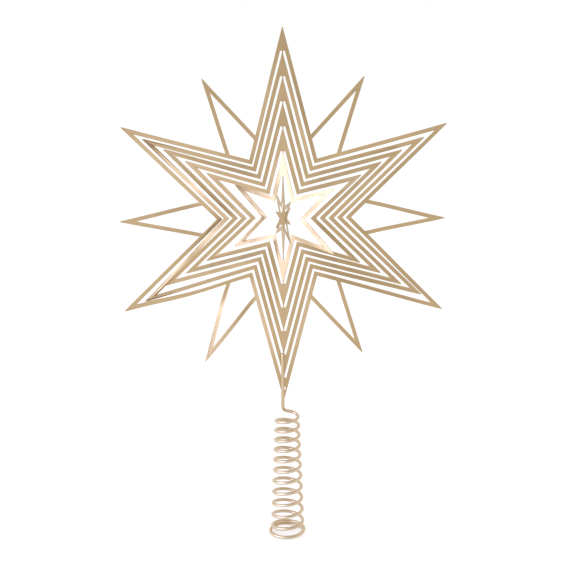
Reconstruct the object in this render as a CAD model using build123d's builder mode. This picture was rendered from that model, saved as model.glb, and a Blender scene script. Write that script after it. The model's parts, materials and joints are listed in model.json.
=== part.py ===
"""Christmas tree topper: nested six-pointed stars of sheet brass above a coiled wire socket.

Eight stars, one inside the other, are cut from one sheet and hang together by short necks on the upright
axis, so each can be twisted out of the plane. A wire is soldered to the bottom point and runs down into a
conical coil that is pushed over the tree's top shoot.
The frame has +Z up, the stars facing -Y, and its origin at the centre of the coil's mouth.
"""

from build123d import *
import math
import os

os.makedirs("parts", exist_ok=True)

# Sheet stars
OVERALL_HEIGHT = 299.3
SHEET = 0.5
STAR_TIP_R = 109.2          # centre to the sharp tip of the outer star, before it is rounded
TIP_HALF_ANGLE = 14.74      # half of the angle at each point
STRIP_W = 2.25              # width of each star's outline
SLOT_W = 1.35               # cut between one star and the next
TIP_ROUND = 0.4
NECK_W = 0.8
SLOT_END = 0.1              # a slot stops flat this far past the sharp tip of the star inside it
POINTS = 6

# The stars from the outside in, and how far each has been turned about the upright axis, in degrees
STAR_TURNS = {
    "outer_star": 0.0,
    "second_star": -0.5,
    "third_star": -5.0,
    "fourth_star": -5.0,
    "fifth_star": -8.0,
    "sixth_star": -32.0,
    "seventh_star": -82.5,
    "centre_star": -124.5,
}

# Outlined rays between the points of the outer star, and the hole in its bottom point
RAY_TIP_R = 94.3
SIDE_RAY_TIP_R = 95.5       # the two level rays are a little longer than the other four
RAY_FOOT_R = 49.6           # along the ray, centre to where its edges meet the star
TIP_HOLE_D = 2.1
TIP_HOLE_R = 101.5

# Wire: straight stem, bend and conical coil
WIRE_D = 2.0
WIRE_SIDES = 8              # the swept coil has a section of so many flats
STEM_X = -2.6               # the stem stands this far to the left of the coil's axis
STEM_LEFT_OF_STAR = 0.8     # and this far to the left of the stars' axis
STAND_OFF = 0.3             # solder between the stem and the sheet
STEM_TOP_GAP = 0.4          # the stem ends this far below the third star's tip
BEND_DEPTH = 112.0          # star centre down to where the stem starts to bend
KNEE = (1.4, 3.2)           # plan position of the wire on its way from the stem to the coil
KNEE_DEPTH = 116.0          # star centre down to that place
KNEE_HEADING = 26.0         # its direction in plan, from +X towards +Y, in degrees
KNEE_SLOPE = 10.0           # its fall, in degrees
COIL_TOP_R = 6.55           # radius of the wire's centre line at the top of the coil
COIL_R_STEP = 0.25          # growth of that radius in each turn
OPEN_TURNS = 10
CLOSING_TURNS = 1
END_TURNS = 0.9
PITCH_TOP = 5.5
PITCH_LOW = 7.45
PITCH_END = 2.95
COIL_LEAN = 2.2             # the turns lie a little higher at the back, in degrees
MOUTH_START = 10.75         # from this turn on the coil goes over into its wider mouth
MOUTH_BLEND = 0.5           # turns that this takes
MOUTH_FLARE = 0.95          # the mouth's radius is larger by this
MOUTH_LEAN = 4.2            # and its ring leans more by this, in degrees
QUARTER = 0.25              # each biarc covers a quarter of a turn
COIL_FOOT = -0.66           # sets the lowest point of the wire at the height of the origin

# Solder bead behind the stem
SOLDER_TOP_R = 97.2
SOLDER_BOTTOM_R = 103.4
SOLDER_W_SHEET = 1.7
SOLDER_W_WIRE = 1.3
SOLDER_RISE = 0.35          # how far the bead climbs round the wire

# Worked out from these
ALPHA = math.radians(TIP_HALF_ANGLE)
STEP = math.radians(360 / POINTS)
NOTCH_R = STAR_TIP_R * math.sin(ALPHA) / math.sin(ALPHA + STEP / 2)
NEST = STRIP_W + SLOT_W
STAR_X = STEM_X + STEM_LEFT_OF_STAR
STAR_Y = WIRE_D / 2 + STAND_OFF + SHEET / 2
STAR_Z = OVERALL_HEIGHT - STAR_TIP_R + TIP_ROUND * (1 / math.sin(ALPHA) - 1)
STAR_NAMES = list(STAR_TURNS)
TURNS = OPEN_TURNS + CLOSING_TURNS + END_TURNS
SIDE_ANGLE = 2 * math.pi / WIRE_SIDES
WIRE_CORNER_R = WIRE_D / 2 * math.sqrt(SIDE_ANGLE / math.sin(SIDE_ANGLE))  # gives the round wire's area


def tip_radius(inset):
    """Radius of the sharp tips of the outline that lies inset millimetres inside the outer star."""
    return STAR_TIP_R - inset / math.sin(ALPHA)


def notch_radius(inset):
    """Radius of the notches of that outline."""
    return NOTCH_R - inset / math.sin(ALPHA + STEP / 2)


def neck_end(index):
    """Radius at which the top and bottom points of star number index are as narrow as a neck."""
    return tip_radius(index * NEST) - NECK_W / 2 / math.tan(ALPHA)


def slot_end(index):
    """Radius at which the slots round star number index stop, beside its necks."""
    return tip_radius(index * NEST) + SLOT_END


def star_outline(inset, cut_r=None):
    """Corners of a nested star; cut_r squares off its top and bottom points at that radius."""
    corners = []
    for i in range(2 * POINTS):
        angle = math.pi / 2 - i * STEP / 2
        if i % 2:
            radius = notch_radius(inset)
            corners.append((radius * math.cos(angle), radius * math.sin(angle)))
        elif cut_r and i % POINTS == 0:
            side = math.copysign(1, math.sin(angle))
            half = (tip_radius(inset) - cut_r) * math.tan(ALPHA)
            corners += [(-side * half, side * cut_r), (side * half, side * cut_r)]
        else:
            radius = tip_radius(inset)
            corners.append((radius * math.cos(angle), radius * math.sin(angle)))
    return corners


def ray_outline(tip_r, inset):
    """Corners of a ray that points along +X, from its tip back to the notch that it stands over."""
    edge = math.tan(ALPHA + STEP / 2)
    beta = math.atan((RAY_FOOT_R - NOTCH_R) * edge / (tip_r - RAY_FOOT_R))
    tip = tip_r - inset / math.sin(beta)
    foot = (tip * math.tan(beta) + NOTCH_R * edge) / (math.tan(beta) + edge)
    half = (tip - foot) * math.tan(beta)
    return [(tip, 0), (foot, half), (NOTCH_R, 0), (foot, -half)]


def ray_tip(number):
    """Tip radius of ray number so and so, counted from +X; two of them lie level."""
    return RAY_TIP_R if 2 * number % POINTS else SIDE_RAY_TIP_R


def star_plane(name):
    """Plane of a star in its twisted place: its own X across, its own Y upright."""
    turn = math.radians(STAR_TURNS[name])
    return Plane(
        origin=(STAR_X, STAR_Y, STAR_Z),
        x_dir=(math.cos(turn), math.sin(turn), 0),
        z_dir=(math.sin(turn), -math.cos(turn), 0),
    )


def free_tips(sketch, radius):
    """Corners of a sketch that lie at the given radius, so its sharp tips."""
    return sketch.vertices().filter_by(lambda v: abs(math.hypot(v.X, v.Y) - radius) < 0.01)


def write(piece, name):
    """Labels a finished piece and writes it."""
    piece.part.label = name
    export_step(piece.part, f"parts/{name}.step")


# Outer star, with an outlined ray over each notch and a small hole in the bottom point
with BuildPart() as outer_star:
    with BuildSketch(star_plane("outer_star")) as outer_face:
        Polygon(*star_outline(0), align=None)
        for number in range(POINTS):
            Polygon(*ray_outline(ray_tip(number), 0), rotation=number * 360 / POINTS, align=None)
        for radius in (STAR_TIP_R, RAY_TIP_R, SIDE_RAY_TIP_R):
            fillet(free_tips(outer_face.sketch_local, radius), radius=TIP_ROUND)
        for number in range(POINTS):
            inside = ray_outline(ray_tip(number), STRIP_W)
            Polygon(*inside, rotation=number * 360 / POINTS, align=None, mode=Mode.SUBTRACT)
        Polygon(*star_outline(STRIP_W, slot_end(1)), align=None, mode=Mode.SUBTRACT)
        with Locations((0, -TIP_HOLE_R)):
            Circle(TIP_HOLE_D / 2, mode=Mode.SUBTRACT)
    extrude(amount=SHEET / 2, both=True)
write(outer_star, "outer_star")

# Stars inside it; the last is too small for a slot of its own and stays solid
for number, star_name in enumerate(STAR_NAMES[1:], start=1):
    outside = number * NEST
    with BuildPart() as nested_star:
        with BuildSketch(star_plane(star_name)) as nested_face:
            Polygon(*star_outline(outside, neck_end(number)), align=None)
            fillet(free_tips(nested_face.sketch_local, tip_radius(outside)), radius=TIP_ROUND)
            if star_name != STAR_NAMES[-1]:
                inside = star_outline(outside + STRIP_W, slot_end(number + 1))
                Polygon(*inside, align=None, mode=Mode.SUBTRACT)
        extrude(amount=SHEET / 2, both=True)
    write(nested_star, star_name)

# Necks above and below each nested star, twisted from the outer neighbour's direction to its own
for number, star_name in enumerate(STAR_NAMES[1:], start=1):
    for place, side in (("top", 1), ("bottom", -1)):
        with BuildPart() as neck:
            for owner, radius in ((STAR_NAMES[number - 1], slot_end(number)), (star_name, neck_end(number))):
                turn = STAR_TURNS[owner]
                level = Plane.XY.move(Location((STAR_X, STAR_Y, STAR_Z + side * radius)))
                with BuildSketch(level.rotated((0, 0, turn))):
                    Rectangle(NECK_W, SHEET)
            loft(ruled=True)
        write(neck, f"{star_name}_{place}_neck")

# Stem: the straight upper end of the wire, up the front of the two outer bottom points
stem_foot = STAR_Z - BEND_DEPTH + WIRE_D
stem_top = STAR_Z - neck_end(2) - STEM_TOP_GAP
with BuildPart() as stem_wire:
    with BuildSketch(Plane.XY.move(Location((STEM_X, 0, stem_foot)))):
        Circle(WIRE_D / 2)
    extrude(amount=stem_top - stem_foot)
    chamfer(stem_wire.edges().group_by(Axis.Z)[-1], length=WIRE_D / 6)
write(stem_wire, "stem_wire")

# Solder bead that fills the space between the stem and the outer star's bottom point
with BuildPart() as solder_bead:
    with BuildSketch(Plane.XY.move(Location((STEM_X, 0, STAR_Z - SOLDER_BOTTOM_R)))):
        with BuildLine():
            sheet_y = STAR_Y - SHEET / 2
            wire_y = WIRE_D / 2 - SOLDER_RISE
            Polyline(
                (-SOLDER_W_SHEET / 2, sheet_y),
                (SOLDER_W_SHEET / 2, sheet_y),
                (SOLDER_W_WIRE / 2, wire_y),
                (-SOLDER_W_WIRE / 2, wire_y),
                close=True,
            )
        make_face()
        Circle(WIRE_D / 2, mode=Mode.SUBTRACT)
    extrude(amount=SOLDER_BOTTOM_R - SOLDER_TOP_R)
write(solder_bead, "solder_bead")


def coil_drop(turn):
    """Fall of the coil's centre line from its top, after so many turns."""
    open_part = min(turn, OPEN_TURNS)
    drop = PITCH_TOP * open_part + (PITCH_LOW - PITCH_TOP) * open_part**2 / 2 / OPEN_TURNS
    closing_part = min(max(turn - OPEN_TURNS, 0), CLOSING_TURNS)
    drop += PITCH_LOW * closing_part - (PITCH_LOW - PITCH_END) * closing_part**2 / 2 / CLOSING_TURNS
    return drop + PITCH_END * max(turn - OPEN_TURNS - CLOSING_TURNS, 0)


def mouth_share(turn):
    """How far the coil has gone over into its mouth, from 0 to 1."""
    share = min(max((turn - MOUTH_START) / MOUTH_BLEND, 0), 1)
    return share**2 * (3 - 2 * share)


def coil_point(turn):
    """Place on the coil's centre line: it starts at +X and goes round by the front."""
    mouth = mouth_share(turn)
    radius = COIL_TOP_R + COIL_R_STEP * turn + MOUTH_FLARE * mouth
    angle = -2 * math.pi * turn
    height = WIRE_D / 2 + COIL_FOOT + coil_drop(TURNS) - coil_drop(turn)
    height += radius * math.sin(angle) * math.tan(math.radians(COIL_LEAN + MOUTH_LEAN * mouth))
    return Vector(radius * math.cos(angle), radius * math.sin(angle), height)


def coil_direction(turn):
    """Direction of the centre line there."""
    small = 1e-4
    return (coil_point(turn + small) - coil_point(turn - small)).normalized()


def biarc_middle(start, start_dir, end, end_dir):
    """Point and direction where two tangent arcs between the given ends meet."""
    chord = end - start
    along = chord.dot(start_dir + end_dir)
    spread = 2 * (1 - start_dir.dot(end_dir))
    reach = (math.sqrt(along**2 + spread * chord.dot(chord)) - along) / spread
    first = start + start_dir * reach
    second = end - end_dir * reach
    return (first + second) * 0.5, (second - first).normalized()


# Coil: one unbroken wire from the foot of the stem, round the knee and down the cone
down = Vector(0, 0, -1)
heading = math.radians(KNEE_HEADING)
slope = math.radians(KNEE_SLOPE)
knee_dir = Vector(
    math.cos(heading) * math.cos(slope), math.sin(heading) * math.cos(slope), -math.sin(slope)
)
stations = [(Vector(STEM_X, 0, stem_foot - WIRE_D), down), (Vector(*KNEE, STAR_Z - KNEE_DEPTH), knee_dir)]
for turn in [number * QUARTER for number in range(math.ceil(TURNS / QUARTER))] + [TURNS]:
    stations.append((coil_point(turn), coil_direction(turn)))
wire_start = Vector(STEM_X, 0, stem_foot)

with BuildPart() as socket_coil:
    with BuildLine() as wire_path:
        Line(wire_start, stations[0][0])
        for (start, start_dir), (end, end_dir) in zip(stations, stations[1:]):
            middle, middle_dir = biarc_middle(start, start_dir, end, end_dir)
            TangentArc(start, middle, tangent=start_dir)
            TangentArc(middle, end, tangent=middle_dir)
        last, last_dir = stations[-1]
        Line(last, last + last_dir * WIRE_D)
    with BuildSketch(Plane(origin=wire_start, z_dir=down)):
        RegularPolygon(WIRE_CORNER_R, WIRE_SIDES, rotation=math.degrees(SIDE_ANGLE) / 3)
    sweep()
write(socket_coil, "socket_coil")

# Least gap of the wire to itself, on points along its centre line
path = wire_path.wire()
count = round(path.length)
samples = [path.position_at(i / count) for i in range(count + 1)]
spacing = path.length / count
apart = round(2 * COIL_TOP_R / spacing)
least = min(
    (samples[i] - samples[j]).length for i in range(len(samples)) for j in range(i + apart, len(samples))
)
print(f"coil wire {path.length:.1f} mm long, least gap to itself {least - 2 * WIRE_CORNER_R:.2f} mm")
section = math.pi * WIRE_D**2 / 4
print(f"coil volume {socket_coil.part.volume:.1f}, section times length {section * path.length:.1f} mm3")
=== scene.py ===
"""Looks of a sheet-brass Christmas tree topper: nested six-pointed stars above a coiled wire socket.

Everything is in metres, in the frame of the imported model: +Z up, the stars facing -Y, and the origin at the
centre of the coil's mouth.
"""

import json
import logging
import math
import random
from collections.abc import Callable
from dataclasses import dataclass, field
from enum import Enum

import bmesh
import bpy
from mathutils import Matrix, Quaternion, Vector


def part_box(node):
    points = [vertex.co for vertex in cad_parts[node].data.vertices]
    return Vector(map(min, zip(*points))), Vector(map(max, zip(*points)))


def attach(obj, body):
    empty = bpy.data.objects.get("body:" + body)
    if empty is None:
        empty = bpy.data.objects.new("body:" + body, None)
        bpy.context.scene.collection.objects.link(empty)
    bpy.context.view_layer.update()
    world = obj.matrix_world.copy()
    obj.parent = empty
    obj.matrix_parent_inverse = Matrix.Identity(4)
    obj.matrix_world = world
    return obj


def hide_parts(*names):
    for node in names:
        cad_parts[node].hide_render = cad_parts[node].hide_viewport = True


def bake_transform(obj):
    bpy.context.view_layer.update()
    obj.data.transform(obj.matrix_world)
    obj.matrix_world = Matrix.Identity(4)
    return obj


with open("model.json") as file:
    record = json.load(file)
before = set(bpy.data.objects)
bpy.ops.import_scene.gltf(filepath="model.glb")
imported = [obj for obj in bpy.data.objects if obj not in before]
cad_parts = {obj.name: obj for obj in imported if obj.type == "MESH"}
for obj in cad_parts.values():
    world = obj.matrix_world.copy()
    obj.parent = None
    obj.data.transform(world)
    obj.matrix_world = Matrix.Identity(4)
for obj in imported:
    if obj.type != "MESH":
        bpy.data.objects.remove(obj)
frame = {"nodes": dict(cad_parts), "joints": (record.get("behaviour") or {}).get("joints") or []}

log = logging.getLogger("tree_topper")

MM = 0.001
NEAR = 0.01 * MM  # places closer than this are the same
NEARLY = 0.9  # an edge longer than this share of a length runs along all of it
CUT_MARK = "cut_edge"
RUN_MARK = "wire_run"
FLOAT = "NodeSocketFloat"
COLOUR = "NodeSocketColor"
VECTOR = "NodeSocketVector"
WHITE = (1.0, 1.0, 1.0, 1.0)

Piece = bpy.types.Object
Tree = bpy.types.NodeTree
Socket = bpy.types.NodeSocket
Pair = tuple[float, float]
Values = dict[str | int, object]
Kinds = dict[str, str]
Colour = tuple[float, float, float, float]


class Element(Enum):
    """What a pick in edit mode chooses, with its name in a mesh."""

    VERT = "verts"
    EDGE = "edges"
    FACE = "faces"


class End(Enum):
    """The upper or the lower end of a star on the upright axis, with its sign."""

    TOP = 1
    BOTTOM = -1


class Slot(Enum):
    """Material slots of the record."""

    SHEET = "sheet_brass"
    WIRE = "brass_wire"
    SOLDER = "solder"


def mm(*sizes: float) -> tuple[float, ...]:
    """Gives sizes in millimetres as metres."""
    return tuple(size * MM for size in sizes)


def smoothstep(low: float, high: float, value: float) -> float:
    """Rises smoothly from 0 at low to 1 at high."""
    share = min(max((value - low) / (high - low), 0.0), 1.0)
    return share * share * (3.0 - 2.0 * share)


def select_only(obj: Piece) -> None:
    """Makes a piece the active one and the only one that is selected.

    Args:
        obj: the piece.
    """
    bpy.ops.object.select_all(action="DESELECT")
    obj.select_set(True)
    bpy.context.view_layer.objects.active = obj


def take_piece(name: str) -> Piece:
    """Takes the primitive that was just added, with its place and size applied to its mesh.

    Args:
        name: its new name.

    Returns:
        The piece.
    """
    obj = bpy.context.active_object
    obj.name = obj.data.name = name
    bpy.ops.object.transform_apply(location=True, rotation=True, scale=True)
    return obj


def apply_modifier(obj: Piece, kind: str, **settings: object) -> None:
    """Adds a modifier to a piece and applies it.

    Args:
        obj: the piece.
        kind: Blender's name of the modifier's type.
        settings: the modifier's properties.
    """
    select_only(obj)
    modifier = obj.modifiers.new(kind.lower(), kind)
    for key, value in settings.items():
        setattr(modifier, key, value)
    bpy.ops.object.modifier_apply(modifier=modifier.name)


def shade(obj: Piece, degrees: float = 35.0) -> None:
    """Shades a piece smooth wherever its faces meet at less than the given angle."""
    select_only(obj)
    bpy.ops.object.shade_smooth_by_angle(angle=math.radians(degrees))


def mark_cut(obj: Piece, is_cut: Callable[[bpy.types.MeshPolygon], bool]) -> None:
    """Marks the faces that a cutter left, where the finish is rubbed.

    Args:
        obj: the piece.
        is_cut: tells whether a face is one of them.
    """
    mark = obj.data.attributes.new(CUT_MARK, "FLOAT", "FACE")
    for face in obj.data.polygons:
        mark.data[face.index].value = float(is_cut(face))


class Bench:
    """One piece on the bench: its mesh in edit mode, with parts of it picked by place."""

    def __init__(self, obj: Piece) -> None:
        """Takes the piece that is to be shaped."""
        self.obj = obj

    def __enter__(self) -> "Bench":
        """Puts the piece alone into edit mode.

        Returns:
            The bench.
        """
        select_only(self.obj)
        bpy.ops.object.mode_set(mode="EDIT")
        return self

    def __exit__(self, *problem: object) -> None:
        """Goes back to object mode."""
        bpy.ops.object.mode_set(mode="OBJECT")

    def pick_all(self) -> None:
        """Picks every face."""
        bpy.ops.mesh.select_mode(type=Element.FACE.name)
        bpy.ops.mesh.select_all(action="SELECT")

    def pick(self, element: Element, test: Callable[..., bool]) -> None:
        """Picks the vertices, edges or faces that pass a test, and nothing else.

        Args:
            element: what is picked.
            test: called with each of them.
        """
        bpy.ops.mesh.select_mode(type=element.name)
        bpy.ops.mesh.select_all(action="DESELECT")
        mesh = bmesh.from_edit_mesh(self.obj.data)
        for one in getattr(mesh, element.value):
            if test(one):
                one.select_set(True)
        mesh.select_flush_mode()
        bmesh.update_edit_mesh(self.obj.data)

    def pick_long(self, length: float) -> None:
        """Picks the edges that are longer than the given length."""
        self.pick(Element.EDGE, lambda edge: edge.calc_length() > length)


class NodeSheet:
    """A node tree with short calls to add nodes and join them; a value is a constant or a socket."""

    def __init__(self, tree: Tree) -> None:
        """Takes the tree and empties it."""
        self.tree = tree
        tree.nodes.clear()

    def add(self, kind: str, values: Values | None = None, **settings: object) -> bpy.types.Node:
        """Adds a node.

        Args:
            kind: Blender's type name of the node.
            values: input sockets by name or number, each with its value.
            settings: the node's own properties.

        Returns:
            The node.
        """
        node = self.tree.nodes.new(kind)
        for key, value in settings.items():
            setattr(node, key, value)
        for key, value in (values or {}).items():
            if isinstance(value, Socket):
                self.tree.links.new(value, node.inputs[key])
            else:
                node.inputs[key].default_value = value
        return node

    def group(self, tree: Tree, values: Values) -> bpy.types.NodeOutputs:
        """Adds a node group and gives its outputs."""
        return self.add("ShaderNodeGroup", values, node_tree=tree).outputs

    def attribute(self, name: str) -> bpy.types.NodeOutputs:
        """Reads one of the piece's own attributes."""
        return self.add("ShaderNodeAttribute", attribute_name=name).outputs

    def maths(self, operation: str, *values: object, clamp: bool = False) -> Socket:
        """Joins two or three numbers by an operation."""
        numbers = dict(enumerate(values))
        return self.add("ShaderNodeMath", numbers, operation=operation, use_clamp=clamp).outputs[0]

    def span(self, value: Socket, limits: Pair, start: float = 0.0, end: float = 1.0) -> Socket:
        """Maps a number between two limits to one between start and end."""
        return self.add("ShaderNodeMapRange", dict(enumerate((value, *limits, start, end)))).outputs[0]

    def mix(self, share: Socket, first: object, second: object) -> Socket:
        """Mixes two colours."""
        return self.add("ShaderNodeMix", {0: share, 6: first, 7: second}, data_type="RGBA").outputs[2]

    def noise(self, place: Socket, scale: object, texture: Pair) -> Socket:
        """Gives a noise of the given scale, with the texture's detail and roughness."""
        values = {"Vector": place, "Scale": scale, "Detail": texture[0], "Roughness": texture[1]}
        return self.add("ShaderNodeTexNoise", values).outputs["Fac"]


def new_group(name: str, inputs: Kinds, outputs: Kinds) -> tuple[NodeSheet, dict[str, Socket]]:
    """Starts a shader node group with named sockets.

    Args:
        name: the group's name.
        inputs: type of each input socket, by name.
        outputs: type of each output socket, by name.

    Returns:
        The group's node sheet, and the sockets that bring in what it is given.
    """
    tree = bpy.data.node_groups.new(name, "ShaderNodeTree")
    for way, sockets in (("INPUT", inputs), ("OUTPUT", outputs)):
        for socket, kind in sockets.items():
            tree.interface.new_socket(socket, in_out=way, socket_type=kind)
    sheet = NodeSheet(tree)
    given = sheet.add("NodeGroupInput").outputs
    return sheet, {socket: given[socket] for socket in inputs}


@dataclass
class EffectShelf:
    """The shader node groups that the finishes share, each built once; a texture is detail and roughness."""

    line_texture: Pair = (4.0, 0.65)
    patch_texture: Pair = (2.0, 0.5)
    patch_height: float = 2.0  # in lines
    drift_texture: Pair = (3.0, 0.6)
    drift_limits: Pair = (0.32, 0.72)
    freckle_ratio: float = 23.0  # how much finer the freckles are than the drift
    freckle_limits: Pair = (0.05, 0.16)
    rub_scale: float = 900.0
    rub_texture: Pair = (2.0, 0.5)
    rub_limits: Pair = (0.3, 0.7)
    least_rub: float = 0.55

    def __post_init__(self) -> None:
        """Builds the groups."""
        self.grain = self.satin_grain()
        self.tone = self.lacquer_tone()
        self.wear = self.edge_wear()

    def satin_grain(self) -> Tree:
        """Fine lines along the way the metal was rolled or drawn, with a soft unevenness over them.

        Returns:
            A group that gives a height for a bump and a roughness.
        """
        inputs = {"Vector": VECTOR} | dict.fromkeys(("Fine Scale", "Patch Scale", "Roughness", "Spread"), FLOAT)
        sheet, given = new_group("satin_grain", inputs, {"Height": FLOAT, "Roughness": FLOAT})
        lines = sheet.noise(given["Vector"], given["Fine Scale"], self.line_texture)
        patches = sheet.noise(given["Vector"], given["Patch Scale"], self.patch_texture)
        height = sheet.maths("MULTIPLY_ADD", patches, self.patch_height, lines)
        swing = sheet.maths("SUBTRACT", sheet.maths("ADD", lines, patches), 1.0)
        rough = sheet.maths("MULTIPLY_ADD", swing, given["Spread"], given["Roughness"], clamp=True)
        sheet.add("NodeGroupOutput", {"Height": height, "Roughness": rough})
        return sheet.tree

    def lacquer_tone(self) -> Tree:
        """Slow drift of the brass tone under its lacquer, with sparse darker freckles.

        Returns:
            A group that gives a colour.
        """
        inputs = {"Vector": VECTOR, "Tone": COLOUR, "Deep Tone": COLOUR, "Scale": FLOAT, "Freckles": FLOAT}
        sheet, given = new_group("lacquer_tone", inputs, {"Color": COLOUR})
        drift = sheet.noise(given["Vector"], given["Scale"], self.drift_texture)
        clouded = sheet.mix(sheet.span(drift, self.drift_limits), given["Tone"], given["Deep Tone"])
        fine = sheet.maths("MULTIPLY", given["Scale"], self.freckle_ratio)
        cells = sheet.add("ShaderNodeTexVoronoi", {"Vector": given["Vector"], "Scale": fine}, feature="F1")
        dots = sheet.span(cells.outputs["Distance"], self.freckle_limits, 1.0, 0.0)
        faint = sheet.maths("MULTIPLY", dots, given["Freckles"])
        sheet.add("NodeGroupOutput", {"Color": sheet.mix(faint, clouded, given["Deep Tone"])})
        return sheet.tree

    def edge_wear(self) -> Tree:
        """Colour and roughness where the metal was cut, rubbed unevenly.

        Returns:
            A group that passes a colour and a roughness on, changed where its mask is.
        """
        inputs = {"Vector": VECTOR, "Mask": FLOAT, "Color": COLOUR, "Cut Color": COLOUR}
        inputs |= {"Roughness": FLOAT, "Cut Roughness": FLOAT}
        sheet, given = new_group("edge_wear", inputs, {"Color": COLOUR, "Roughness": FLOAT})
        rub = sheet.noise(given["Vector"], self.rub_scale, self.rub_texture)
        worn = sheet.maths("MULTIPLY", given["Mask"], sheet.span(rub, self.rub_limits, self.least_rub))
        tinted = sheet.mix(worn, given["Color"], given["Cut Color"])
        rough = sheet.add("ShaderNodeMix", {0: worn, 2: given["Roughness"], 3: given["Cut Roughness"]})
        sheet.add("NodeGroupOutput", {"Color": tinted, "Roughness": rough.outputs[0]})
        return sheet.tree


@dataclass(frozen=True)
class BrassFinish:
    """A satin, lacquered brass surface."""

    name: str
    slot: Slot
    tone: Colour
    deep_tone: Colour  # where the lacquer is thicker
    cut_tone: Colour  # on cut edges and wire ends
    roughness: float
    spread: float  # how far the roughness swings over the surface
    stretch: tuple[float, float, float]  # of the grain, along the coordinates that it follows
    fine_scale: float  # of its lines
    bump: float  # strength of the grain
    attribute: str = ""  # the piece's own coordinates, or empty for object coordinates
    start_tone: Colour | None = None  # a darker tone over the start of those coordinates, which on the wire is its stem
    start_span: Pair = (0.0, 0.0)  # where that fades and where it ends
    patch_ratio: float = 16.0  # how much broader the grain's patches are than its lines
    tone_scale: float = 34.0
    freckles: float = 0.35
    cut_roughness: float = 0.12  # how much rougher cut edges are
    grain_depth: float = 0.02 * MM

    def tones(self, sheet: NodeSheet, follow: Socket) -> list[object]:
        """Gives the usual and the deep tone, with the darker start stretch if there is one.

        Args:
            sheet: the material's nodes.
            follow: the coordinates that the finish follows.

        Returns:
            The two tones, as constants or as sockets.
        """
        usual = [self.tone, self.deep_tone]
        if not self.start_tone:
            return usual
        run = sheet.add("ShaderNodeSeparateXYZ", {0: follow}).outputs["X"]
        past_start = sheet.span(run, self.start_span)
        return [sheet.mix(past_start, self.start_tone, tone) for tone in usual]

    def material(self, shelf: EffectShelf) -> bpy.types.Material:
        """Makes the material.

        Args:
            shelf: the shared effects.

        Returns:
            The material.
        """
        material = bpy.data.materials.new(self.name)
        material.use_nodes = True
        sheet = NodeSheet(material.node_tree)
        place = sheet.add("ShaderNodeTexCoord").outputs["Object"]
        follow = sheet.attribute(self.attribute)["Vector"] if self.attribute else place
        grain = sheet.group(shelf.grain, {
            "Vector": sheet.add("ShaderNodeMapping", {"Vector": follow, "Scale": self.stretch}).outputs[0],
            "Fine Scale": self.fine_scale,
            "Patch Scale": self.fine_scale / self.patch_ratio,
            "Roughness": self.roughness,
            "Spread": self.spread,
        })
        tone, deep_tone = self.tones(sheet, follow)
        lacquer = sheet.group(shelf.tone, {
            "Vector": place,
            "Tone": tone,
            "Deep Tone": deep_tone,
            "Scale": self.tone_scale,
            "Freckles": self.freckles,
        })
        wear = sheet.group(shelf.wear, {
            "Vector": place,
            "Mask": sheet.attribute(CUT_MARK)["Fac"],
            "Color": lacquer["Color"],
            "Cut Color": self.cut_tone,
            "Roughness": grain["Roughness"],
            "Cut Roughness": self.roughness + self.cut_roughness,
        })
        relief = {"Strength": self.bump, "Distance": self.grain_depth, "Height": grain["Height"]}
        metal = sheet.add("ShaderNodeBsdfPrincipled", {
            "Base Color": wear["Color"],
            "Roughness": wear["Roughness"],
            "Normal": sheet.add("ShaderNodeBump", relief).outputs["Normal"],
            "Metallic": 1.0,
        })
        sheet.add("ShaderNodeOutputMaterial", {"Surface": metal.outputs["BSDF"]})
        return material


SHEET_BRASS = BrassFinish(
    name="satin_sheet_brass",
    slot=Slot.SHEET,
    tone=(0.555, 0.405, 0.226, 1.0),
    deep_tone=(0.485, 0.346, 0.188, 1.0),
    cut_tone=(0.68, 0.55, 0.40, 1.0),
    roughness=0.36,
    spread=0.16,
    stretch=(1.0, 1.0, 0.02),
    fine_scale=4200.0,
    bump=0.12,
)
DRAWN_BRASS = BrassFinish(
    name="drawn_wire_brass",
    slot=Slot.WIRE,
    tone=(0.72, 0.58, 0.415, 1.0),
    deep_tone=(0.65, 0.51, 0.35, 1.0),
    cut_tone=(0.52, 0.36, 0.20, 1.0),
    roughness=0.34,
    spread=0.14,
    stretch=(0.02, 1.0, 1.0),
    fine_scale=5200.0,
    bump=0.10,
    attribute=RUN_MARK,
    # the stem, at the start of the wire's run, is given a darker tone than the coil
    start_tone=(0.57, 0.435, 0.265, 1.0),
    start_span=(31.0 * MM, 39.0 * MM),
)
SOLDER_BRASS = BrassFinish(
    name="lacquered_solder",
    slot=Slot.SOLDER,
    tone=(0.60, 0.45, 0.28, 1.0),
    deep_tone=(0.50, 0.37, 0.22, 1.0),
    cut_tone=(0.50, 0.37, 0.22, 1.0),
    roughness=0.48,
    spread=0.2,
    stretch=(1.0, 1.0, 1.0),
    fine_scale=1800.0,
    bump=0.3,
)


class Part:
    """A piece of the topper, which is modelled, dressed and joined to its bodies."""

    obj: Piece
    finish: BrassFinish = SHEET_BRASS

    def model(self) -> None:
        """Models the piece in its place."""

    def join(self) -> None:
        """Says which bodies the piece follows and which nodes it stands for."""

    def build(self, shelf: EffectShelf) -> Piece:
        """Makes the piece.

        Args:
            shelf: the shared effects.

        Returns:
            The finished piece.
        """
        self.model()
        finish = self.finish
        self.obj.data.materials.clear()
        self.obj.data.materials.append(bpy.data.materials.get(finish.name) or finish.material(shelf))
        self.join()
        return self.obj


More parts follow.
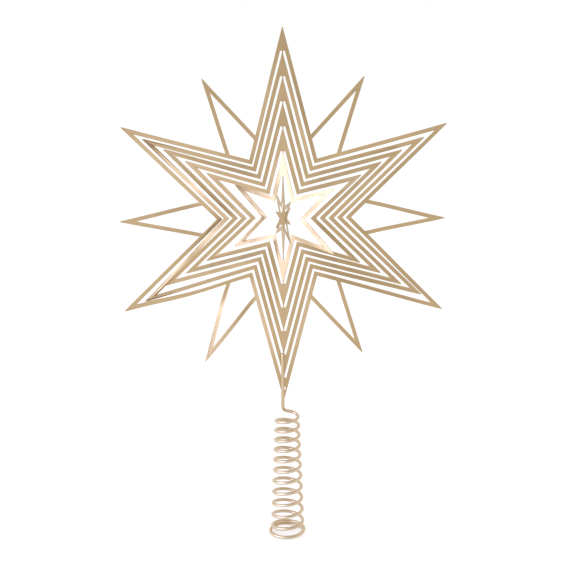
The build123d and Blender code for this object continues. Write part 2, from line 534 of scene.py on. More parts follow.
@dataclass
class SheetPattern:
    """The pattern that all the stars of the sheet follow; star number 0 is the outer one."""

    centre: Vector
    outer_tip: float  # radius of the outer star's tips before they are rounded
    half_angle: float = math.radians(14.74)  # half of the angle at each point
    tip_round: float = 0.4 * MM
    strip: float = 2.25 * MM  # width of each star's outline
    slot: float = 1.35 * MM
    thickness: float = 0.5 * MM
    neck: float = 0.8 * MM
    slot_end: float = 0.1 * MM  # from a star's sharp tip to the end of the slot around it
    points: int = 6
    edge_break: float = 0.06 * MM
    edge_rows: int = 2

    @classmethod
    def from_frame(cls) -> "SheetPattern":
        """Reads the stars' axis and the outer star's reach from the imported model.

        Returns:
            The pattern.
        """
        twist = next(joint for joint in frame["joints"] if joint["type"] == "hinge")
        low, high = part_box("outer_star")
        return cls(Vector(twist["pos_m"]), (high.z - low.z) / 2 + cls.rounded_off())

    @classmethod
    def rounded_off(cls) -> float:
        """How much of a sharp tip its rounding takes away."""
        return cls.tip_round * (1.0 / math.sin(cls.half_angle) - 1.0)

    @property
    def notch_angle(self) -> float:
        """Angle between a strip's edge and the line from the centre to its notch."""
        return self.half_angle + math.pi / self.points

    def tip_radius(self, index: int, inset: float = 0.0) -> float:
        """Radius of the tips of a star, or of an outline inset from it."""
        return self.outer_tip - (index * (self.strip + self.slot) + inset) / math.sin(self.half_angle)

    def notch_radius(self, index: int, inset: float = 0.0) -> float:
        """Radius of the notches of that outline."""
        outer = self.outer_tip * math.sin(self.half_angle)
        return (outer - index * (self.strip + self.slot) - inset) / math.sin(self.notch_angle)

    def neck_radius(self, index: int) -> float:
        """Radius at which a star's top and bottom points are as narrow as a neck."""
        return self.tip_radius(index) - self.neck / 2 / math.tan(self.half_angle)

    def slot_radius(self, index: int) -> float:
        """Radius at which the slots around a star stop, beside its necks."""
        return self.tip_radius(index) + self.slot_end


@dataclass(frozen=True)
class HandSet:
    """How handling has set a star a little out of its flat shape.

    Its tips and notches are numbered clockwise from the top tip, and strip number n starts at corner n.
    """

    shifts: dict[int, tuple[float, ...]] = field(default_factory=dict)  # of corners: across, up and forwards
    bows: dict[int, float] = field(default_factory=dict)  # of strips: shift of the middle outwards
    leans: dict[int, float] = field(default_factory=dict)  # of strips, about their own length
    rays: dict[int, tuple[tuple[float, ...], float]] = field(default_factory=dict)  # shift of the tip and twist
    seed: int = 0  # start of the small leans that all the other strips have


@dataclass
class NestedStar(Part):
    """One star outline that hangs in the next larger star."""

    node: str
    body: str
    index: int  # from the outside
    pattern: SheetPattern
    solid: bool = False
    hand_set: HandSet = field(default_factory=HandSet)
    strip_lean: float = math.radians(2.5)  # usual lean of a strip, each way
    long_edge: float = 3.0  # edges longer than this, in widths of a strip, are divided
    strip_cuts: int = 9
    tip_rows: int = 6
    sharp: float = math.radians(55)  # edges sharper than this are broken
    flat_weight: int = 50  # how far the broad faces rule the shading
    cut_limit: float = 0.6  # how far a cut face may look out of the sheet, as a cosine
    tip_hold: Pair = (0.04, 0.24)  # share of a strip from its tip at which its lean starts and is whole
    notch_hold: float = 0.14  # share from its notch at which it is whole
    neck_hold: float = 0.25  # share of the height from the necks at which it is whole

    @property
    def turn(self) -> float:
        """Reads the star's angle about the upright axis from its node; a half turn makes no difference.

        Returns:
            The angle.
        """
        centre = self.pattern.centre.xy
        points = [vertex.co.xy - centre for vertex in frame["nodes"][self.node].data.vertices]
        spread = sum(point.x**2 - point.y**2 for point in points)
        shear = sum(2 * point.x * point.y for point in points)
        return math.atan2(shear, spread) / 2

    def model(self) -> None:
        """Cuts the star flat, sets it by hand and stands it up in its place."""
        self.cut_blank()
        if not self.solid:
            self.open_slot()
        self.shape_points()
        self.divide_strips()
        self.thicken()
        self.set_by_hand()
        self.stand_up()
        shade(self.obj)
        apply_modifier(self.obj, "WEIGHTED_NORMAL", weight=self.flat_weight, keep_sharp=True)

    def join(self) -> None:
        """Lets the star ride on its body."""
        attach(self.obj, self.body)
        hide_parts(self.node)

    def cut_blank(self) -> None:
        """Makes a flat star of the outline's size, with its own X across and Y upright."""
        pattern = self.pattern
        tip = pattern.tip_radius(self.index)
        shrink = pattern.notch_radius(self.index) / tip
        bpy.ops.mesh.primitive_circle_add(vertices=2 * pattern.points, radius=tip, fill_type="NGON")
        self.obj = take_piece(f"{self.node}_sheet")
        step = 2 * math.pi / pattern.points
        with Bench(self.obj) as bench:
            bench.pick(
                Element.VERT,
                lambda corner: abs(math.atan2(corner.co.x, corner.co.y) % step - step / 2) < step / 4,
            )
            bpy.ops.transform.resize(value=(shrink, shrink, 1))

    def open_slot(self) -> None:
        """Leaves only a strip along the outline, closed at the top and bottom where the next necks start."""
        stop = self.pattern.slot_radius(self.index + 1)
        with Bench(self.obj) as bench:
            bench.pick_all()
            bpy.ops.mesh.inset(thickness=self.pattern.strip, use_even_offset=True)
            for end in End:
                bench.pick_all()
                bpy.ops.mesh.bisect(plane_co=(0, end.value * stop, 0), plane_no=(0, 1, 0))
            bench.pick(Element.FACE, lambda face: len(face.verts) > 2 * self.pattern.points)
            bpy.ops.mesh.delete(type="FACE")

    def shape_points(self) -> None:
        """Crops the top and bottom points to the width of the necks that they hang in."""
        crop = self.pattern.neck_radius(self.index)
        with Bench(self.obj) as bench:
            for side in (end.value for end in End):
                bench.pick_all()
                bpy.ops.mesh.bisect(plane_co=(0, side * crop, 0), plane_no=(0, side, 0), clear_outer=True)

    def divide_strips(self) -> None:
        """Divides the long strips across, so that they can take a slight bend."""
        with Bench(self.obj) as bench:
            bench.pick_long(self.long_edge * self.pattern.strip)
            bpy.ops.mesh.subdivide(number_cuts=self.strip_cuts)

    def free_tips(self) -> list[float]:
        """Radii at which the star has free tips."""
        return [self.pattern.tip_radius(self.index)]

    def thicken(self) -> None:
        """Gives the sheet its thickness, rounds the free tips and breaks the edges."""
        pattern = self.pattern
        apply_modifier(self.obj, "SOLIDIFY", thickness=pattern.thickness, offset=0.0)
        tips, upright = self.free_tips(), pattern.thickness / 2

        def is_tip(edge: bmesh.types.BMEdge) -> bool:
            """Tells whether an edge runs through the sheet at a free tip."""
            first, second = (vertex.co for vertex in edge.verts)
            return abs(first.z - second.z) > upright and any(abs(first.xy.length - tip) < NEAR for tip in tips)

        with Bench(self.obj) as bench:
            bench.pick(Element.EDGE, is_tip)
            reach = pattern.rounded_off() / ((2.0 - math.sqrt(2.0)) * math.cos(pattern.half_angle))
            bpy.ops.mesh.bevel(offset=reach, segments=self.tip_rows, profile=0.5, affect="EDGES")
        self.pierce()
        broken = {"width": pattern.edge_break, "segments": pattern.edge_rows}
        apply_modifier(self.obj, "BEVEL", limit_method="ANGLE", angle_limit=self.sharp, **broken)

    def pierce(self) -> None:
        """Makes the holes that the star has: none, unless it is the outer one."""

    def set_by_hand(self) -> None:
        """Leans the strips about their own length, away from the necks, moves corners and bows strips."""
        pattern, hand = self.pattern, self.hand_set
        middle_tip = pattern.tip_radius(self.index, pattern.strip / 2)
        middle_notch = pattern.notch_radius(self.index, pattern.strip / 2)
        necks = pattern.slot_radius(self.index + 1)
        arms = 2 * pattern.points
        step = 2 * math.pi / arms
        corners = []
        for number in range(arms):
            radius = middle_notch if number % 2 else middle_tip
            corners.append(Vector((math.sin(number * step), math.cos(number * step))) * radius)
        chance = random.Random(hand.seed)
        leans = [chance.gauss(0.0, self.strip_lean) for _ in range(arms)]
        for arm, lean in hand.leans.items():
            leans[arm] = lean
        shifts = [Vector(hand.shifts.get(corner, (0.0, 0.0, 0.0))) for corner in range(arms)]
        for vertex in self.obj.data.vertices:
            spot = vertex.co.xy
            angle = math.atan2(spot.x, spot.y) % (2 * math.pi)
            arm = int(angle / step) % arms
            after = (arm + 1) % arms
            tip, notch = (after, arm) if arm % 2 else (arm, after)
            swing = angle - arm * step
            swing = step - swing if arm % 2 else swing
            to_tip = middle_notch * math.sin(step - swing)
            from_tip = middle_tip * math.sin(swing)
            share = from_tip / (from_tip + to_tip)
            start = corners[arm]
            way = (corners[after] - start).normalized()
            offset = way.x * (spot - start).y - way.y * (spot - start).x
            offset = min(max(offset, -pattern.strip), pattern.strip)
            free = smoothstep(*self.tip_hold, share) * smoothstep(0.0, self.notch_hold, 1.0 - share)
            free *= smoothstep(0.0, self.neck_hold, (necks - abs(spot.y)) / necks)
            vertex.co.z += offset * math.tan(leans[arm]) * free
            vertex.co += shifts[tip].lerp(shifts[notch], smoothstep(0.0, 1.0, share))
            outwards = Vector((-way.y, way.x))
            vertex.co.xy += outwards * hand.bows.get(arm, 0.0) * math.sin(math.pi * share) ** 2

    def stand_up(self) -> None:
        """Turns the flat star upright and into its own direction, and marks its cut faces."""
        turn = self.turn
        across = Vector((math.cos(turn), math.sin(turn), 0))
        front = Vector((math.sin(turn), -math.cos(turn), 0))
        place = Matrix((across, (0, 0, 1), front)).transposed().to_4x4()
        place.translation = self.pattern.centre
        select_only(self.obj)
        self.obj.matrix_world = place
        bpy.ops.object.transform_apply(location=True, rotation=True, scale=True)
        mark_cut(self.obj, lambda face: abs(face.normal.dot(front)) < self.cut_limit)


@dataclass
class OuterStar(NestedStar):
    """The largest star, with an outlined ray over each notch and a small hole in its bottom point."""

    ray_tip: float = 94.3 * MM  # radius of the rays' tips before they are rounded
    side_ray_tip: float = 95.5 * MM  # that of the two level rays
    ray_foot: float = 49.6 * MM  # along a ray's axis to where its edges meet the star
    ray_give: float = 14.0 * MM  # clearance from the strips at which a ray has its whole twist
    leg_reach: float = 1.2  # length of a leg before it is cut at the ray's axis, in radii of the ray's tip
    hole: float = 2.1 * MM
    hole_radius: float = 101.5 * MM
    hole_sides: int = 40
    drill_depth: float = 4.0 * MM  # through the sheet, with room on both sides

    def free_tips(self) -> list[float]:
        """Radii of the points and of the rays."""
        return [self.pattern.tip_radius(0), self.ray_tip, self.side_ray_tip]

    def shape_points(self) -> None:
        """Keeps the points whole and adds the rays between them."""
        points = self.pattern.points
        with Bench(self.obj) as bench:
            for number in range(points):
                ray_tip = self.ray_tip if 2 * number % points else self.side_ray_tip
                for side in (1, -1):
                    self.add_leg(bench, 2 * math.pi * number / points, side, ray_tip)
            bench.pick_all()
            bpy.ops.mesh.remove_doubles(threshold=NEAR)

    def add_leg(self, bench: Bench, direction: float, side: int, ray_tip: float) -> None:
        """Draws one leg of a ray out of the strip beside it, as far as the ray's axis.

        Args:
            bench: the star in edit mode.
            direction: angle of the ray's axis, from across towards upright.
            side: 1 or -1, the side of that axis.
            ray_tip: radius of the ray's tip.
        """
        axis = Vector((math.cos(direction), math.sin(direction), 0))
        beside = Vector((-axis.y, axis.x, 0)) * side
        pattern = self.pattern
        sector, reach = math.pi / pattern.points, pattern.tip_radius(0)
        notch, edge = pattern.notch_radius(0), math.tan(pattern.notch_angle)
        lean = math.atan((self.ray_foot - notch) * edge / (ray_tip - self.ray_foot))
        slope = math.tan(lean)
        outwards = axis * math.cos(lean) - beside * math.sin(lean)
        across = axis * math.sin(lean) + beside * math.cos(lean)

        def on_strip(face: bmesh.types.BMFace) -> bool:
            """Tells whether a face is part of the strip from the notch to the next point."""
            spot = face.calc_center_median()
            return 0 < math.atan2(spot.dot(beside), spot.dot(axis)) < sector and spot.length < reach

        feet = []
        for inset in (0.0, pattern.strip):
            tip = ray_tip - inset / math.sin(lean)
            bench.pick(Element.FACE, on_strip)
            bpy.ops.mesh.bisect(plane_co=axis * tip, plane_no=across)
            along = (tip * slope + notch * edge) / (slope + edge)
            feet.append(axis * along + beside * (tip - along) * slope)

        def joins_feet(edge: bmesh.types.BMEdge) -> bool:
            """Tells whether an edge runs from one foot of the leg to the other."""
            return all(min((vertex.co - foot).length for vertex in edge.verts) < 2 * NEAR for foot in feet)

        drawn = outwards * self.leg_reach * ray_tip
        bench.pick(Element.EDGE, joins_feet)
        bpy.ops.mesh.extrude_edges_move(TRANSFORM_OT_translate={"value": drawn})
        middle = (feet[0] + feet[1] + drawn) / 2
        bench.pick(Element.FACE, lambda face: (face.calc_center_median() - middle).length < 10 * NEAR)
        bpy.ops.mesh.bisect(plane_co=(0, 0, 0), plane_no=-beside, clear_outer=True)

    def set_by_hand(self) -> None:
        """Sets the rays, and the strips like those of any star."""
        step = math.pi / self.pattern.points
        opening, notch_radius = self.pattern.notch_angle, self.pattern.notch_radius(0)
        reach = (self.ray_tip - notch_radius) * math.sin(opening)
        for notch, (shift, twist) in self.hand_set.rays.items():
            axis = Vector((math.sin(notch * step), math.cos(notch * step)))
            beside = Vector((-axis.y, axis.x))
            for vertex in self.obj.data.vertices:
                along, aside = vertex.co.xy.dot(axis), vertex.co.xy.dot(beside)
                clear = (along - notch_radius) * math.sin(opening) - abs(aside) * math.cos(opening)
                vertex.co.z += aside * math.tan(twist) * smoothstep(0.0, self.ray_give, clear)
                vertex.co.xy += Vector(shift) * smoothstep(0.0, reach, clear)
        super().set_by_hand()

    def pierce(self) -> None:
        """Drills the small hole in the bottom point."""
        bpy.ops.mesh.primitive_cylinder_add(
            vertices=self.hole_sides,
            radius=self.hole / 2,
            depth=self.drill_depth,
            location=(0, -self.hole_radius, 0),
        )
        drill = take_piece("drill")
        apply_modifier(self.obj, "BOOLEAN", object=drill, operation="DIFFERENCE", solver="EXACT")
        bpy.data.objects.remove(drill)


@dataclass
class TwistedNeck(Part):
    """One of the short necks that a nested star hangs in, above or below it."""

    holder: NestedStar  # the star outside
    star: NestedStar
    end: End
    layers: int = 12
    seat: float = 0.05 * MM  # how far it reaches into each of the two stars
    thin: float = 0.98  # share of the section that it continues, so that no faces coincide

    def __post_init__(self) -> None:
        """Finds where the neck leaves the outer star and where it meets its own."""
        pattern, index = self.star.pattern, self.star.index
        self.outer, self.inner = pattern.slot_radius(index), pattern.neck_radius(index)
        self.name = f"{self.star.node}_{self.end.name.lower()}"

    def on_axis(self, radius: float) -> Vector:
        """Place on the stars' axis at that radius, on the neck's side of the centre."""
        return self.star.pattern.centre + Vector((0, 0, self.end.value * radius))

    def model(self) -> None:
        """Models the neck, twisted from the direction of the outer star to that of its own."""
        pattern = self.star.pattern
        length = self.outer - self.inner + 2 * self.seat
        section = (self.thin * pattern.neck, self.thin * pattern.thickness)
        bpy.ops.mesh.primitive_cube_add(size=1, scale=(*section, length))
        self.obj = take_piece(f"{self.name}_twist")
        holder_turn = self.holder.turn
        turn = (self.star.turn - holder_turn + math.pi / 2) % math.pi - math.pi / 2
        with Bench(self.obj) as bench:
            bench.pick_long(NEARLY * length)
            bpy.ops.mesh.bevel(offset=pattern.edge_break, segments=pattern.edge_rows, affect="EDGES")
            bench.pick_long(NEARLY * length)
            bpy.ops.mesh.subdivide(number_cuts=self.layers - 1)
            for layer in range(self.layers + 1):
                height = length * (layer / self.layers - 0.5)
                share = smoothstep(-0.5, 0.5, -self.end.value * height / length)
                bench.pick(Element.VERT, lambda vertex: abs(vertex.co.z - height) < length / self.layers / 4)
                angle = holder_turn + turn * share
                bpy.ops.transform.rotate(value=-angle, orient_axis="Z", center_override=(0, 0, 0))
        self.obj.data.transform(Matrix.Translation(self.on_axis((self.outer + self.inner) / 2)))
        shade(self.obj)

    def join(self) -> None:
        """Bakes the neck's place into its mesh and hides the model's neck."""
        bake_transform(self.obj)
        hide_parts(f"{self.name}_neck")


@dataclass
class SocketWire(Part):
    """The wire: a straight stem up the front of the bottom points, a knee, and a conical coil."""

    pattern: SheetPattern
    knee: Pair = (1.4 * MM, 3.2 * MM)  # in plan
    knee_depth: float = 116.0 * MM  # below the stars' centre
    knee_heading: float = math.radians(26.0)  # in plan, from +X towards +Y
    knee_slope: float = math.radians(10.0)
    bend_depth: float = 112.0 * MM  # where the stem starts to bend, below the stars' centre
    top_radius: float = 6.55 * MM  # of the wire's centre line
    radius_step: float = 0.25 * MM  # growth in each turn
    open_turns: float = 10.0  # with a growing pitch
    closing_turns: float = 1.0  # with a falling pitch
    end_turns: float = 0.9
    pitch_top: float = 5.5 * MM
    pitch_low: float = 7.45 * MM  # at the end of the open turns
    pitch_end: float = 2.95 * MM
    lean: float = math.radians(2.2)  # the turns lie a little higher at the back
    mouth_start: float = 10.75  # turn from which the coil goes over into its wider mouth
    mouth_blend: float = 0.5  # turns that this takes
    mouth_flare: float = 0.95 * MM
    mouth_lean: float = math.radians(4.2)
    foot: float = 0.34 * MM  # height of the coil's axis at the end of its last turn
    stations: int = 8  # points of the curve in each turn
    station_rows: int = 5
    handle_share: float = 0.345  # length of the curve's handles, of the way to the next point
    nudge: float = 0.001  # part of a turn over which the coil's direction is taken
    sides: int = 16
    end_bevel: float = 0.22 * MM
    end_rows: int = 3
    smooth: float = 50.0
    finish: BrassFinish = DRAWN_BRASS

    @property
    def turns(self) -> float:
        """All the turns of the coil."""
        return self.open_turns + self.closing_turns + self.end_turns

    def drop(self, turn: float) -> float:
        """Finds how far the coil's centre line has fallen from its top.

        Args:
            turn: turns from the top.

        Returns:
            The fall.
        """
        opened = min(turn, self.open_turns)
        closing = min(max(turn - self.open_turns, 0.0), self.closing_turns)
        ending = max(turn - self.open_turns - self.closing_turns, 0.0)
        widen, narrow = self.pitch_low - self.pitch_top, self.pitch_low - self.pitch_end
        fall = self.pitch_top * opened + widen * opened**2 / 2 / self.open_turns
        fall += self.pitch_low * closing - narrow * closing**2 / 2 / self.closing_turns
        return fall + self.pitch_end * ending

    def coil_point(self, turn: float) -> Vector:
        """Finds a place on the coil's centre line, which starts at +X and goes round by the front.

        Args:
            turn: turns from the top.

        Returns:
            The place.
        """
        mouth = smoothstep(self.mouth_start, self.mouth_start + self.mouth_blend, turn)
        radius = self.top_radius + self.radius_step * turn + self.mouth_flare * mouth
        angle = -2 * math.pi * turn
        height = self.foot + self.drop(self.turns) - self.drop(turn)
        height += radius * math.sin(angle) * math.tan(self.lean + self.mouth_lean * mouth)
        return Vector((radius * math.cos(angle), radius * math.sin(angle), height))

    def plan_route(self) -> None:
        """Lists places along the wire with their directions: stem, knee, coil and a short straight end."""
        low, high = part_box("stem_wire")
        self.gauge = high.x - low.x
        middle = (low + high) / 2
        down = Vector((0, 0, -1))
        heading, slope = self.knee_heading, self.knee_slope
        flat = math.cos(slope)
        knee_way = Vector((math.cos(heading) * flat, math.sin(heading) * flat, -math.sin(slope)))
        centre_z = self.pattern.centre.z
        self.route = [
            (Vector((middle.x, middle.y, high.z)), down),
            (Vector((middle.x, middle.y, centre_z - self.bend_depth)), down),
            (Vector((*self.knee, centre_z - self.knee_depth)), knee_way),
        ]
        steps = math.ceil(self.turns * self.stations)
        for turn in [number / self.stations for number in range(steps)] + [self.turns]:
            way = self.coil_point(turn + self.nudge) - self.coil_point(turn - self.nudge)
            self.route.append((self.coil_point(turn), way.normalized()))
        last, way = self.route[-1]
        self.route.append((last + way * self.gauge, way))

    def model(self) -> None:
        """Draws the wire along its route as one round tube."""
        self.plan_route()
        bpy.ops.curve.primitive_bezier_curve_add()
        curve = bpy.context.active_object.data
        points = curve.splines[0].bezier_points
        points.add(len(self.route) - len(points))
        for number, (place, way) in enumerate(self.route):
            before = (place - self.route[max(number - 1, 0)][0]).length
            after = (self.route[min(number + 1, len(self.route) - 1)][0] - place).length
            point = points[number]
            point.handle_left_type = point.handle_right_type = "FREE"
            point.co = place
            point.handle_left = place - way * before * self.handle_share
            point.handle_right = place + way * after * self.handle_share
        curve.dimensions = "3D"
        curve.resolution_u = self.station_rows
        curve.bevel_depth = self.gauge / 2
        curve.bevel_resolution = (self.sides - 4) // 2
        bpy.ops.object.convert(target="MESH")
        self.obj = take_piece("socket_wire")
        self.mark_run()
        self.finish_ends()
        shade(self.obj, self.smooth)

    def join(self) -> None:
        """Bakes the wire's place into its mesh and hides the model's coil and stem."""
        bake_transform(self.obj)
        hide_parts("socket_coil", "stem_wire")

    def mark_run(self) -> None:
        """Stores on each point of the open tube, ring by ring, how far along and round the wire it is."""
        mesh = self.obj.data
        mark = mesh.attributes.new(RUN_MARK, "FLOAT_VECTOR", "POINT")
        along, radius, before = 0.0, self.gauge / 2, None
        for ring in range(len(mesh.vertices) // self.sides):
            members = range(ring * self.sides, (ring + 1) * self.sides)
            middle = sum((mesh.vertices[number].co for number in members), Vector()) / self.sides
            along += (middle - before).length if before else 0.0
            before = middle
            for side, number in enumerate(members):
                angle = 2 * math.pi * side / self.sides
                mark.data[number].vector = (along, radius * math.cos(angle), radius * math.sin(angle))

    def is_near(self, spot: Vector, end: Vector) -> bool:
        """Tells whether a place is less than the wire's width from one of its ends."""
        return (spot - end).length < self.gauge

    def finish_ends(self) -> None:
        """Closes the wire's two cut ends and breaks their sharp rims."""
        with Bench(self.obj) as bench:
            for end in (self.route[0][0], self.route[-1][0]):
                bench.pick(Element.EDGE, lambda edge: edge.is_boundary and self.is_near(edge.verts[0].co, end))
                bpy.ops.mesh.edge_face_add()
            bench.pick(Element.FACE, lambda face: len(face.verts) == self.sides)
            bpy.ops.mesh.region_to_loop()
            bpy.ops.mesh.bevel(offset=self.end_bevel, segments=self.end_rows, affect="EDGES")
        mark_cut(self.obj, lambda face: len(face.vertices) == self.sides)


@dataclass
class SolderBead(Part):
    """The solder that fills the space between the stem and the bottom point of the outer star."""

    half_width: float = 0.93 * MM
    half_depth: float = 0.52 * MM  # sunk a little into the wire
    sides: int = 20
    cuts: int = 8
    end_share: float = 0.25  # of its width that its ends keep
    uneven: float = 0.03  # how far its width swings, each way
    seed: int = 5
    levels: int = 2
    smooth: float = 60.0
    finish: BrassFinish = SOLDER_BRASS

    def model(self) -> None:
        """Models the bead with drawn-out ends."""
        low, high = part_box("solder_bead")
        middle = (low + high) / 2
        length = high.z - low.z
        centre = (middle.x, high.y - self.half_depth, middle.z)
        round_bar = {"vertices": self.sides, "radius": self.half_width, "depth": length}
        bpy.ops.mesh.primitive_cylinder_add(location=centre, **round_bar)
        self.obj = take_piece("stem_solder")
        with Bench(self.obj) as bench:
            bench.pick_long(NEARLY * length)
            bpy.ops.mesh.subdivide(number_cuts=self.cuts)
            bench.pick_all()
            flat = self.half_depth / self.half_width
            bpy.ops.transform.resize(value=(1, flat, 1), center_override=centre)
        chance = random.Random(self.seed)
        for vertex in self.obj.data.vertices:
            share = abs(vertex.co.z - middle.z) / (length / 2)
            narrow = math.sqrt(max(1.0 - share**2, 0.0)) * (1.0 - self.end_share) + self.end_share
            narrow *= 1.0 + chance.uniform(-self.uneven, self.uneven)
            vertex.co.x = middle.x + (vertex.co.x - middle.x) * narrow
        apply_modifier(self.obj, "SUBSURF", levels=self.levels, render_levels=self.levels)
        shade(self.obj, self.smooth)

    def join(self) -> None:
        """Lets the bead ride with the outer star."""
        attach(self.obj, "outer_frame")
        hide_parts("solder_bead")


@dataclass
class Studio:
    """Floor, surroundings, soft light and camera."""

    pattern: SheetPattern
    eye: Vector = Vector((-54.2 * MM, -739.1 * MM, 100.8 * MM))  # from the stars' centre
    heading: float = math.radians(4.196)  # in plan, from +Y towards +X
    pitch: float = math.radians(10.64)  # downwards
    roll: float = math.radians(0.25)  # to the right
    focal_pixels: float = 1293.0
    picture: float = 567.0  # width in pixels
    sensor: float = 36.0
    near_clip: float = 0.01
    floor_size: float = 12.0
    floor_drop: float = 0.2 * MM
    floor_tone: Colour = (0.55, 0.55, 0.55, 1.0)
    floor_glow: float = 0.56  # white that the camera, metal and glass see on it as well
    front: Colour = (0.44, 0.43, 0.415, 1.0)  # the room on the camera's side, well above the object
    low_front: Colour = (0.80, 0.785, 0.76, 1.0)
    side: Colour = (1.10, 1.15, 1.24, 1.0)  # its left, near the soft light
    left_limits: Pair = (-0.2, -0.7)  # X of a direction where the left starts and is whole
    high_limits: Pair = (0.1, 0.5)  # Z from low to well above
    back_limits: Pair = (-0.9, -0.1)  # Y from the camera's side to the white back
    box_way: Vector = Vector((-0.84, -0.54, 0.05))  # from the stars to the soft light
    box_distance: float = 0.95
    box_size: Pair = (1.05, 0.8)
    box_power: float = 10.0
    box_colour: tuple[float, float, float] = (0.52, 0.595, 1.0)

    def build(self) -> None:
        """Sets up the whole studio."""
        self.lay_floor()
        self.light_room()
        self.hang_softbox()
        self.place_camera()

    def lay_floor(self) -> None:
        """Lays a plain white floor that keeps a soft shadow."""
        bpy.ops.mesh.primitive_plane_add(size=self.floor_size, location=(0, 0, -self.floor_drop))
        floor = take_piece("studio_floor")
        material = bpy.data.materials.new("white_floor")
        material.use_nodes = True
        sheet = NodeSheet(material.node_tree)
        path = sheet.add("ShaderNodeLightPath").outputs
        shiny = sheet.maths("ADD", path["Is Glossy Ray"], path["Is Transmission Ray"])
        seen = sheet.maths("ADD", path["Is Camera Ray"], shiny)
        glow = sheet.maths("MULTIPLY", seen, self.floor_glow, clamp=True)
        matt = sheet.add("ShaderNodeBsdfDiffuse", {"Color": self.floor_tone})
        light = sheet.add("ShaderNodeEmission", {"Color": WHITE, "Strength": glow})
        both = sheet.add("ShaderNodeAddShader", {0: matt.outputs[0], 1: light.outputs[0]})
        sheet.add("ShaderNodeOutputMaterial", {"Surface": both.outputs[0]})
        floor.data.materials.append(material)

    def light_room(self) -> None:
        """Surrounds the object with white, dimmer on the camera's side as a room is behind the lights."""
        world = bpy.data.worlds.new("studio_room")
        bpy.context.scene.world = world
        world.use_nodes = True
        sheet = NodeSheet(world.node_tree)
        generated = sheet.add("ShaderNodeTexCoord").outputs["Generated"]
        way = sheet.add("ShaderNodeSeparateXYZ", {0: generated}).outputs
        front = sheet.mix(sheet.span(way["Z"], self.high_limits), self.low_front, self.front)
        fore = sheet.mix(sheet.span(way["X"], self.left_limits), front, self.side)
        room = sheet.mix(sheet.span(way["Y"], self.back_limits), fore, WHITE)
        sky = sheet.add("ShaderNodeBackground", {"Color": room, "Strength": 1.0})
        sheet.add("ShaderNodeOutputWorld", {"Surface": sky.outputs[0]})
        bpy.context.scene.view_settings.view_transform = "Standard"

    def hang_softbox(self) -> None:
        """Hangs a large soft light on the left."""
        way = self.box_way.normalized()
        bpy.ops.object.light_add(type="AREA", location=self.pattern.centre + way * self.box_distance)
        light = bpy.context.active_object
        light.name = "left_softbox"
        light.rotation_mode = "QUATERNION"
        light.rotation_quaternion = (-way).to_track_quat("-Z", "Y")
        light.data.shape = "RECTANGLE"
        light.data.size, light.data.size_y = self.box_size
        light.data.energy = self.box_power
        light.data.color = self.box_colour

    def place_camera(self) -> None:
        """Puts the camera at the photograph's place."""
        sight = Vector((
            math.sin(self.heading) * math.cos(self.pitch),
            math.cos(self.heading) * math.cos(self.pitch),
            -math.sin(self.pitch),
        ))
        bpy.ops.object.camera_add(location=self.pattern.centre + self.eye)
        camera = bpy.context.active_object
        camera.name = "photo_camera"
        camera.rotation_mode = "QUATERNION"
        camera.rotation_quaternion = sight.to_track_quat("-Z", "Y") @ Quaternion((0, 0, 1), -self.roll)
        camera.data.sensor_width = self.sensor
        camera.data.lens = self.sensor * self.focal_pixels / self.picture
        camera.data.dof.use_dof = False
        camera.data.clip_start = self.near_clip
        bpy.context.scene.camera = camera


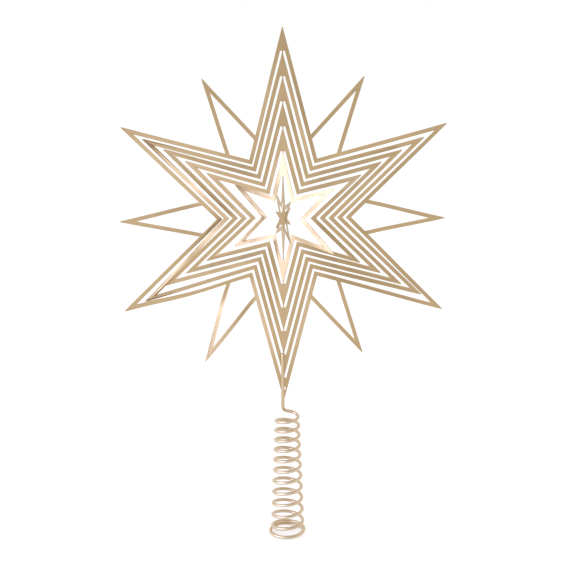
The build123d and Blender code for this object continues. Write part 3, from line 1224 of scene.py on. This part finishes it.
STAR_BODIES = {
    "outer_star": "outer_frame",
    "second_star": "second_star_ring",
    "third_star": "third_star_ring",
    "fourth_star": "fourth_star_ring",
    "fifth_star": "fifth_star_ring",
    "sixth_star": "sixth_star_ring",
    "seventh_star": "seventh_star_ring",
    "centre_star": "centre_piece",
}
HAND_SETS = {
    "outer_star": HandSet(
        shifts={
            2: mm(0.8, -0.4, 0.0), 4: mm(0.1, -1.2, 0.0), 7: mm(0.0, -0.2, -0.4), 8: mm(1.4, 0.8, -1.0),
            9: mm(1.2, -0.3, -1.0), 10: mm(1.8, -1.2, -1.0), 11: mm(0.4, -0.3, 0.0),
        },
        bows={7: 1.3 * MM},
        leans={
            0: -0.2, 1: 0.15, 2: 0.1, 3: -0.08, 4: 0.12, 5: 0.2,
            6: -0.36, 7: -0.42, 8: 0.05, 9: -0.13, 10: 0.1, 11: -0.15,
        },
        rays={
            3: (mm(0.1, -1.1), 0.0), 7: (mm(0.4, -3.4), 0.26),
            9: (mm(-0.6, -0.6), 0.0), 11: (mm(0.4, -0.6), 0.0),
        },
    ),
    "second_star": HandSet(
        shifts={
            2: mm(0.0, -1.1, 0.0), 4: mm(-0.4, 0.8, 0.0),
            8: mm(1.0, -1.2, -3.0), 9: mm(0.0, 0.9, 5.0), 10: mm(1.2, -0.9, -3.0),
        },
        bows={8: -0.3 * MM},
        leans={
            0: 0.15, 1: 0.03, 2: -0.25, 3: 0.03, 4: 0.15, 7: 0.0, 8: -0.46, 9: -0.55, 10: -0.12, 11: -0.07,
        },
    ),
    "third_star": HandSet(
        shifts={2: mm(-1.0, -0.7, 0.0), 4: mm(-0.5, 1.0, 0.0), 8: mm(-0.5, 0.3, 0.0), 10: mm(0.6, 0.0, 0.0)},
        leans={0: -0.07, 1: -0.15, 3: -0.09, 4: 0.15, 5: -0.2, 6: 0.25, 8: 0.12, 10: -0.12},
    ),
    "fourth_star": HandSet(
        shifts={2: mm(-0.3, -0.5, 0.0), 4: mm(-0.2, 0.6, 0.0), 8: mm(0.0, 0.5, 0.0), 10: mm(0.7, 0.2, 0.0)},
        leans={
            0: -0.1, 1: -0.12, 2: 0.15, 3: -0.05, 4: 0.15, 5: -0.1,
            6: 0.15, 7: 0.35, 8: 0.25, 9: -0.2, 10: 0.06, 11: 0.1,
        },
    ),
    "fifth_star": HandSet(
        shifts={2: mm(0.3, -0.5, 0.0), 8: mm(-0.3, 0.5, 0.0), 10: mm(0.5, 0.2, 0.0)},
        leans={
            0: -0.09, 1: -0.18, 2: 0.15, 3: -0.2, 4: 0.12, 5: -0.2,
            6: 0.27, 7: -0.4, 8: 0.3, 9: -0.02, 10: 0.12, 11: -0.06,
        },
    ),
    "sixth_star": HandSet(
        leans={
            0: -0.1, 1: -0.3, 2: 0.1, 3: -0.3, 4: -0.13, 5: -0.15,
            6: -0.14, 7: 0.18, 8: -0.4, 9: 0.35, 11: 0.25,
        },
    ),
}


def make_stars(pattern: SheetPattern) -> list[NestedStar]:
    """Lists the stars from the outside in.

    Args:
        pattern: the sheet's pattern.

    Returns:
        The stars, not yet built.
    """
    stars = []
    for index, (node, body) in enumerate(STAR_BODIES.items()):
        kind = NestedStar if index else OuterStar
        solid = index == len(STAR_BODIES) - 1
        stars.append(kind(node, body, index, pattern, solid, HAND_SETS.get(node, HandSet())))
    return stars


def main() -> None:
    """Builds the topper piece by piece, then the studio around it."""
    logging.basicConfig(level=logging.INFO, format="%(name)s: %(message)s")
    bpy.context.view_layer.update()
    shelf = EffectShelf()
    pattern = SheetPattern.from_frame()
    stars = make_stars(pattern)
    parts = stars + [TwistedNeck(*pair, end) for pair in zip(stars, stars[1:]) for end in End]
    for part in (*parts, SocketWire(pattern), SolderBead()):
        piece = part.build(shelf)
        log.info("%s: %d faces", piece.name, len(piece.data.polygons))
    Studio(pattern).build()


if __name__ == "__main__":
    main()
